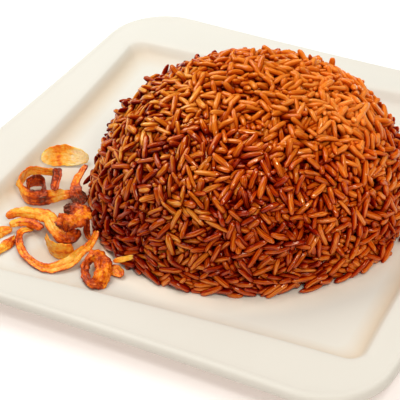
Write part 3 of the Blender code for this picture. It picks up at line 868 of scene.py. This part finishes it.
def makeCoreMaterial():
    # painted shade: the dark core seen through the gaps between the grains
    material, tree, shader = newMaterial("riceGapShade")
    look = riceLook
    darker, lighter = (Vector(look["core"]) * shade for shade in look["coreShades"])
    speck = cloudNode(tree, look["coreSpeck"], 3.0, objectPlace(tree))
    fillInputs(tree, shader, {
        "Base Color": colourRamp(tree, speck, [(0.3, darker), (0.7, lighter)]),
        "Roughness": look["coreRoughness"], "Specular IOR Level": look["coreSpecular"]})
    return material


def markDepth(mesh):
    # deep: mm below the dome's skin; crown: how squarely the surface looks away from the dome; both steer
    # painted light and shade in the rice's colour
    places = np.empty(len(mesh.vertices) * 3)
    mesh.vertices.foreach_get("co", places)
    normals = np.empty(len(mesh.vertices) * 3, np.float32)
    mesh.vertex_normals.foreach_get("vector", normals)
    depth, out = domeDepth(places.reshape(-1, 3) / mm)
    setValues(mesh, "deep", "FLOAT", depth)
    setValues(mesh, "crown", "FLOAT", np.clip((normals.reshape(-1, 3) * out).sum(1), 0, 1))


def makeRice():
    draw = np.random.default_rng(grainSizes["seed"])
    middles, axes, out, long, wide = layRice(draw)
    riceMaterial = makeRiceMaterial()
    order = draw.permutation(len(middles))
    start = 0
    for kind, shape in kinds.items():
        name = "rice" + kind.capitalize()
        stop = min(len(order), start + math.ceil(shape["share"] * len(order)))
        pick = order[start:stop]
        start = stop
        points = newMesh(kind + "Points", (middles[pick] * mm).tolist(), [])
        setValues(points, "lie", "FLOAT_VECTOR", axes[pick])
        facing = out[pick] + draw.normal(0, grainSizes["turnSpread"], (len(pick), 3))
        setValues(points, "facing", "FLOAT_VECTOR", facing)
        setValues(points, "size", "FLOAT_VECTOR", np.stack([long[pick], wide[pick], wide[pick]], axis=1))
        mesh = runTree(name, points, grainTree(kind, riceMaterial), {
            "Length": grainSizes["length"] * mm, "Width": grainSizes["width"] * mm,
            "Bend": shape["bend"] * mm, "Fullness": shape["fullness"], "Flatness": grainSizes["flatness"],
            "Crooked": grainSizes["crooked"] * 2 * mm,
            "Rings": grainSizes["rings"], "Sides": grainSizes["sides"], "Seed": grainSizes["seed"]})
        markDepth(mesh)
        addPiece(name, mesh, "brown_rice", "rice_mound")
        triangles = sum(len(face.vertices) - 2 for face in mesh.polygons)
        print("rice,", kind, "kind:", len(pick), "grains,", triangles, "triangles")
    core = makeCoreMesh()
    core.materials.append(makeCoreMaterial())
    addPiece("riceShadeCore", core, "brown_rice", "rice_mound")
    print("rice core:", len(core.polygons), "faces")


makeRice()


# onions: fried strips, swept along the routes of the solids that they stand for

# mm and degrees: width, lean (0 on edge, 90 flat) and done (0 raw to 1 burnt) are spread along a strip,
# edges is how much further each edge is done, curl how far the edges fold over, crumple how far the
# skin strays, and creased=0 leaves out the groove along the middle; each strip is named by its node
strips = {
    "onion_petal_back": dict(
        thick=1, cup=1.2, curl=0.2, crumple=0.12, creased=0, edges=(0.05, 0.15),
        width=(3.6, 7.4, 9, 8.6, 6.6, 3.2), lean=(-50, -38, -35, -35, -38, -50),
        done=(0.1, 0.14, 0.22, 0.3, 0.52, 0.32, 0.26, 0.02, 0, 0.04, 0.14),
        route=((-79, -19.5, 10.5), (-77.5, -17.5, 11), (-75.5, -15, 11), (-72.5, -13.5, 11.5),
               (-69, -12, 11), (-65.5, -10.5, 10.5), (-63, -9.5, 9)),
    ),
    "onion_ring_upper": dict(
        thick=2, curl=0.5, crumple=0.35, edges=(0.1, 0.22),
        width=(3.4, 3.6, 4.6, 6.2, 6.6, 6, 4.8, 4.2), lean=(5, 5, 0, 0, -20, -40, -55, -70),
        done=(0.34, 0.35, 0.36, 0.36, 0.38, 0.3, 0.4, 0.66, 0.76, 0.78, 0.38, 0.4, 0.6, 0.84),
        route=((-66.6, -25.7, 11.8), (-71, -27.1, 12), (-75, -29, 12.5), (-77, -31.5, 13),
               (-77, -36, 13), (-76, -40, 12), (-72.5, -43, 11), (-68, -45, 11), (-64.5, -44, 11),
               (-62, -42, 11), (-60, -39, 10.5), (-57.5, -37, 10.5), (-55.5, -35.5, 10.5),
               (-53, -35, 10)),
    ),
    "onion_curl_inner": dict(
        thick=1.3, curl=0.2, crumple=0.3, edges=(0, 0.2),
        width=(4.8, 5.8, 5.4), lean=(0, 5, 0), done=(0.6, 0.72, 0.78, 0.82, 0.8, 0.66),
        route=((-71.5, -40.5, 10.5), (-74, -37, 11), (-72.5, -34, 11), (-70, -33, 11), (-67, -35, 11),
               (-65.5, -39, 10.5)),
    ),
    "onion_strip_bridge": dict(
        thick=1.1, curl=0.3, crumple=0.15, edges=(0, 0.25),
        width=(3.8, 3.7, 3.5), lean=(90, 80, 90), done=(0.82, 0.76, 0.72, 0.76),
        route=((-65, -28.5, 16), (-62.5, -32.5, 15.5), (-61, -36, 15), (-59, -40, 14)),
    ),
    "onion_strand_twist": dict(
        thick=1.7, curl=0.3, crumple=0.35, edges=(0.1, 0.15),
        width=(6.4, 6.6, 4.8, 3.6, 3.2, 3), lean=(80, 75, 75, 80, 85, 80),
        done=(0.95, 0.88, 0.72, 0.55, 0.5, 0.55, 0.62),
        route=((-47.5, -38, 9.5), (-49.5, -37, 11), (-51.5, -36, 13), (-53.5, -33, 14),
               (-55, -29.5, 14.5), (-55, -26, 15.5), (-54.5, -23, 17)),
    ),
    "onion_strip_mid": dict(
        thick=1.6, curl=0.5, crumple=0.4, edges=(0.25, 0.2),
        width=(3.4, 4.4, 5, 5.6, 6.2, 6.4, 6, 4.4), lean=(-70, -60, -55, -60, -75, -65, -50, -80),
        done=(0.5, 0.4, 0.34, 0.3, 0.4, 0.34, 0.3, 0.4, 0.6, 0.72, 0.76),
        route=((-69, -59.5, 10), (-67.5, -58, 11), (-64, -57, 12.5), (-60, -56, 13), (-55.5, -55.5, 13),
               (-51, -56.5, 13.5), (-47, -59, 13), (-43, -61.5, 12.5), (-39.5, -62.5, 12),
               (-37, -61, 12), (-37, -57, 12)),
    ),
    "onion_strip_low": dict(
        thick=1.3, curl=0.4, crumple=0.25, edges=(0.1, 0.2),
        width=(3, 3.8, 4, 3.2), lean=(-70, -60, -60, -80), done=(0.5, 0.32, 0.6, 0.74, 0.7),
        route=((-65, -63.5, 10), (-63, -61.5, 10.5), (-59.5, -60, 11), (-55.5, -60, 11),
               (-51, -61, 11)),
    ),
    "onion_clump": dict(
        thick=4.2, curl=0.2, crumple=1.25, edges=(0.2, 0.2),
        width=(5, 6.6, 7, 6.8, 5.4), lean=(-50, -60, -95, -125, -110),
        done=(1.1, 0.8, 0.52, 0.5, 0.56, 0.6, 0.72),
        route=((-46.5, -50.5, 16), (-43, -51, 16), (-39, -51.5, 16), (-37, -56, 16.5),
               (-38.5, -59.5, 17), (-40.5, -61.5, 17), (-39, -65, 17)),
    ),
    "onion_cup": dict(
        thick=1.3, curl=0, crumple=0.25, edges=(0.15, 0.1),
        width=(6.6, 7.4, 7.2, 6.2), lean=(0, 0, 0, 0), done=(0.34, 0.34, 0.4, 0.46, 0.5),
        route=((-45.5, -66.5, 11.5), (-42, -69.5, 11), (-38, -71, 11), (-34.5, -70, 11), (-33, -69, 11),
               (-32.5, -67.5, 11)),
    ),
    "onion_strand_dark": dict(
        thick=1.4, curl=0.2, crumple=0.15, edges=(0, 0.1),
        width=(2.2, 2.8, 2.2), lean=(80, 85, 80), done=(0.8, 0.84, 0.78),
        route=((-36.5, -50.5, 13), (-36, -52.5, 11.5), (-34, -55.5, 10.5), (-31.5, -58, 10)),
    ),
    "onion_loop_big": dict(
        thick=1.6, curl=0.5, crumple=0.25, edges=(0.28, 0.26),
        width=(2.4, 3.2, 4.6, 4.6, 3.2, 3, 3.1, 2.9, 2), lean=(85, 70, 58, 58, 60, 68, 85, 105, 120),
        done=(0.56, 0.52, 0.5, 0.42, 0.3, 0.34, 0.45, 0.5, 0.52, 0.52, 0.55, 0.62, 0.5, 0.34, 0.3),
        route=((-30, -54.5, 12.5), (-29, -58, 11.5), (-28.5, -63, 11), (-29.5, -68, 10.5),
               (-30.5, -73, 9.5), (-33, -76.5, 9), (-36, -79, 8.5), (-39.5, -79.5, 8.5),
               (-44, -78.5, 8.5), (-49, -76.5, 9), (-53, -73.5, 9.5), (-56, -70, 10), (-58.5, -65, 9.5),
               (-58, -62.5, 9), (-56, -60, 8.5)),
    ),
    "onion_end_left_a": dict(
        thick=1.3, curl=0.5, crumple=0.25, edges=(0.1, 0.1),
        width=(2.2, 4.2, 5, 4.6, 3), lean=(-80, -65, -65, -70, -80), done=(0.3, 0.28, 0.34, 0.42, 0.4),
        route=((-69, -75, 8), (-68, -71.5, 8.5), (-67, -67.5, 8.5), (-65.5, -65, 8.5), (-64, -63.5, 8)),
    ),
    "onion_end_left_b": dict(
        thick=1.4, curl=0.4, crumple=0.25, edges=(0.1, 0.1),
        width=(2.2, 3.8, 4.2, 2.6), lean=(-80, -70, -65, -80), done=(0.3, 0.26, 0.34, 0.62, 0.5),
        route=((-61.5, -83, 8.5), (-61, -79.5, 8.5), (-60, -75.5, 8.5), (-59.5, -71.5, 8.5),
               (-60, -67.5, 8.5)),
    ),
    "onion_knot": dict(
        closed=True, thick=3, curl=0.3, crumple=0.85, edges=(0.1, 0.15),
        width=(4.8, 4, 3.2, 3, 3.6, 4.2, 5.2, 6.2, 6.4, 6, 5),
        lean=(-112, -108, -95, -65, -60, -80, -95, -110),
        done=(0.62, 0.68, 0.74, 0.72, 0.74, 0.62, 0.46, 0.6, 0.66, 0.6),
        route=((-23, -67.5, 11.5), (-24, -69.5, 11), (-23.5, -73.5, 10), (-22, -76.5, 9.5),
               (-19, -79, 9), (-15, -80.5, 9.5), (-13.5, -78, 9), (-15, -74.5, 10), (-17, -71, 10.5),
               (-19.5, -68, 11)),
    ),
    "onion_petal_knot": dict(
        thick=1.2, cup=0.4, curl=0.1, crumple=0.25, edges=(0.1, 0.1),
        width=(4.2, 5.4, 4.6, 2.2), lean=(-85, -80, -80, -80), done=(0.72, 0.56, 0.5, 0.52),
        route=((-15.6, -68.2, 9.4), (-13.5, -68.7, 8.9), (-11.2, -69.7, 8.6), (-8.8, -71, 8.2)),
    ),
    "onion_straw": dict(
        thick=1.3, curl=0.2, crumple=0.12, edges=(0.1, 0.05),
        width=(2, 2.6, 2.2), lean=(-60, -70, -60), done=(0.55, 0.34, 0.28),
        route=((-14.5, -67.5, 11.5), (-10.5, -66.5, 13), (-6.5, -66, 15)),
    ),
}
stripMesh = dict(
    ringStep=0.33, fewestRings=8, around=32, routeSteps=12,
    thinner=0.62,  # of the solid's thickness
    squareWide=0.9, squareThick=0.8,  # powers that fill the section's corners
    raggedEdge=0.12,  # share of the width
    ridges=5, ridgeDepth=0.10, ridgeDrift=4,
    foldPower=2.5, foldMiddle=0.35,
    # the crease's darkening is painted shade in the groove, added to how far the strip is done
    creaseDepth=0.55, creaseWidth=0.13, creaseWander=0.72, creaseShade=0.16,
    edgeFrom=5,  # how close to the edge the darker line keeps, as a power
    edgeDarker=1.2,
    endTaper=0.5, endRun=1.3,
    # how fast each drifts along the strip, and a number that sets it apart
    drifts=dict(twist=(0.18, 5), crease=(0.13, 11), ragged=(0.55, 9), ridge=(0.3, 0)),
    crumples=((0.28, 1.0), (0.85, 0.5), (2.1, 0.25)),  # scale, and share of the strip's crumple
    patches=((0.22, 2), (0.6, 1)), patchSwing=0.12,  # scale, and how far the strip's shift counts
    seedShift=(7.3, 3.1, 0), streakShift=0.01, pushApart=37.3,  # these keep one noise from the next
)


def smoothRoute(route, closed):
    # points of a Catmull-Rom curve through the route
    steps = stripMesh["routeSteps"]
    points = []
    for span in range(len(route) if closed else len(route) - 1):
        if closed:
            a, b, c, d = (route[(span + k) % len(route)] for k in (-1, 0, 1, 2))
        else:
            b, c = route[span], route[span + 1]
            a = route[span - 1] if span else b * 2 - c
            d = route[span + 2] if span + 2 < len(route) else c * 2 - b
        for step in range(steps):
            t = step / steps
            points.append(0.5 * (2 * b + (c - a) * t + (2 * a - 5 * b + 4 * c - d) * t * t
                                 + (3 * b - a - 3 * c + d) * t**3))
    if not closed:
        points.append(route[-1].copy())
    return points


def pushAt(place):
    # a smooth push in three directions, the same in every run
    apart = Vector((0, 0, stripMesh["pushApart"]))
    return Vector([noise.noise(place + apart * axis) for axis in range(3)])


def drift(kind, run, shift, sign=1):
    # a number round nothing that changes smoothly along the strip
    fast, apart = stripMesh["drifts"][kind]
    return noise.noise(Vector((run * fast, sign * apart, 0)) + shift)


def stripRings(strip, closed):
    # for each ring: mm from the start, share of the route, taper, middle, way across and way out
    points = smoothRoute([Vector(point) for point in strip["route"]], closed)
    last = len(points) if closed else len(points) - 1
    runs = [0.0]
    for i in range(last):
        runs.append(runs[-1] + (points[(i + 1) % len(points)] - points[i]).length)
    length = runs[-1]
    count = max(stripMesh["fewestRings"], round(length / stripMesh["ringStep"]))
    span = 0
    for ring in range(count + (not closed)):
        run = length * ring / count
        while span < len(runs) - 2 and runs[span + 1] < run:
            span += 1
        part = (run - runs[span]) / max(runs[span + 1] - runs[span], tiny)
        share = (span + part) / last
        here = points[span].lerp(points[(span + 1) % len(points)], part)
        ahead = points[(span + 2) % len(points)] if closed else points[min(span + 2, last)]
        behind = points[span - 1] if closed else points[max(span - 1, 0)]
        forward = (ahead - behind).normalized()
        side = forward.cross(up).normalized()
        lean = math.radians(spreadAlong(strip["lean"], share))
        across = math.cos(lean) * side.cross(forward) + math.sin(lean) * side
        fromEnd = length if closed else min(run, length - run)
        taper = 1 - (1 - stripMesh["endTaper"]) * max(0.0, 1 - fromEnd / stripMesh["endRun"]) ** 2
        yield run, share, taper, here, across, across.cross(forward)


def stripSection(strip, seed, run, share, taper, here, across, out):
    # the points round one ring, how far each is done (with painted shade in the crease), and its place in
    # the flat strip
    shape = stripMesh
    shift = Vector([seed * part for part in shape["seedShift"]])
    width = spreadAlong(strip["width"], share) * taper
    thick = strip["thick"] * shape["thinner"] * taper
    cup = strip.get("cup", 0.0) * math.sin(math.pi * share)
    twist = drift("twist", run, shift)
    creaseAt = shape["creaseWander"] * drift("crease", run, shift)
    for step in range(shape["around"]):
        angle = 2 * math.pi * step / shape["around"]
        u = math.copysign(abs(math.cos(angle)) ** shape["squareWide"], math.cos(angle))
        level = math.copysign(abs(math.sin(angle)) ** shape["squareThick"], math.sin(angle))
        side = math.copysign(1, u)
        ragged = 1 + shape["raggedEdge"] * drift("ragged", run, shift, side)
        wave = u * shape["ridges"] * math.pi + shape["ridgeDrift"] * drift("ridge", run, shift)
        fold = strip["curl"] * (1 + side * twist) * (abs(u) ** shape["foldPower"] - shape["foldMiddle"])
        crease = math.exp(-((u - creaseAt) / shape["creaseWidth"]) ** 2) * strip.get("creased", 1.0)
        height = level * thick / 2 + (cup + shape["ridgeDepth"] * math.sin(wave)) * (1 - u * u) + fold
        place = here + across * (u * width / 2 * ragged) + out * (height - crease * shape["creaseDepth"])
        rough = Vector()
        for scale, portion in shape["crumples"]:
            rough += pushAt(place * scale + shift) * strip["crumple"] * portion
        place = place + rough
        # painted shade in the crease
        done = spreadAlong(strip["done"], share) + crease * shape["creaseShade"]
        done += shape["edgeDarker"] * strip["edges"][u > 0] * abs(u) ** shape["edgeFrom"]
        for scale, far in shape["patches"]:
            done += noise.noise(place * scale + shift * far) * shape["patchSwing"]
        streak = (run * mm, u * width / 2 * mm, seed * shape["streakShift"])
        yield tuple(place * mm), min(1.0, max(0.0, done)), streak


def sweepStrip(name, strip, seed):
    closed = strip.get("closed", False)
    around = stripMesh["around"]
    spots = [spot for ring in stripRings(strip, closed) for spot in stripSection(strip, seed, *ring)]
    rings = len(spots) // around
    faces = bandFaces(rings, around, closed)
    if not closed:
        faces += capFaces(rings, around, len(spots), len(spots) + 1)
        for ring in (spots[:around], spots[-around:]):
            middle = sum((Vector(place) for place, _, _ in ring), Vector()) / around
            spots.append((tuple(middle), *ring[0][1:]))
    places, done, streaks = zip(*spots)
    mesh = newMesh(name, places, faces)
    bm = bmesh.new()
    bm.from_mesh(mesh)
    bmesh.ops.recalc_face_normals(bm, faces=bm.faces)
    bm.to_mesh(mesh)
    bm.free()
    setValues(mesh, "done", "FLOAT", done)
    setValues(mesh, "streak", "FLOAT_VECTOR", streaks)
    return mesh


onionLook = dict(
    # colour from raw to burnt
    shades=((0.0, (0.88, 0.66, 0.34)), (0.16, (0.92, 0.56, 0.15)), (0.34, (0.93, 0.42, 0.035)),
            (0.50, (0.88, 0.24, 0.008)), (0.66, (0.64, 0.090, 0.004)), (0.82, (0.30, 0.022, 0.002)),
            (1.0, (0.09, 0.012, 0.004))),
    fibreScale=(180.0, 1500.0, 100.0), crustScale=900.0, blotScale=320.0,
    fibreSwing=0.42, crustSwing=0.52, blotSwing=0.40,
    fibreRelief=0.8, reliefStrength=0.8, reliefDepth=0.0006,
    roughness=(0.14, 0.32), specular=0.5, shineTint=(1.0, 0.78, 0.52),
    soft=0.4, softReach=(0.0020, 0.0008, 0.0003),
)


def makeOnionMaterial():
    material, tree, shader = newMaterial("friedOnion")
    look = onionLook
    place = objectPlace(tree)
    streak = readAttribute(tree, "streak", "Vector")
    stretched = addNode(tree, "ShaderNodeMapping", {"Vector": streak, "Scale": look["fibreScale"]})
    fibre = cloudNode(tree, 1.0, 3.0, stretched)
    crust = cloudNode(tree, look["crustScale"], 4.0, place)
    blot = cloudNode(tree, look["blotScale"], 3.0, place)
    level = plus(tree, readAttribute(tree, "done"), swingNode(tree, fibre, look["fibreSwing"]),
                 swingNode(tree, crust, look["crustSwing"]), swingNode(tree, blot, look["blotSwing"]))
    relief = plus(tree, crust, times(tree, fibre, look["fibreRelief"]))
    fillInputs(tree, shader, {
        "Base Color": colourRamp(tree, level, look["shades"]),
        "Roughness": rampNode(tree, blot, 0.0, 1.0, *look["roughness"]),
        "Normal": bumpNode(tree, relief, look["reliefStrength"], look["reliefDepth"]),
        "Specular IOR Level": look["specular"]})
    soften(tree, shader, look)
    return material


onionMaterial = makeOnionMaterial()
for seed, (node, strip) in enumerate(strips.items()):
    first, *words = node.split("_")
    mesh = sweepStrip(first + "".join(word.capitalize() for word in words), strip, seed)
    mesh.materials.append(onionMaterial)
    addPiece(mesh.name, mesh, "fried_onion", node)
print("onions:", len(strips), "strips")

[[list(corner) for corner in box] for box in (cadBounds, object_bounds())]
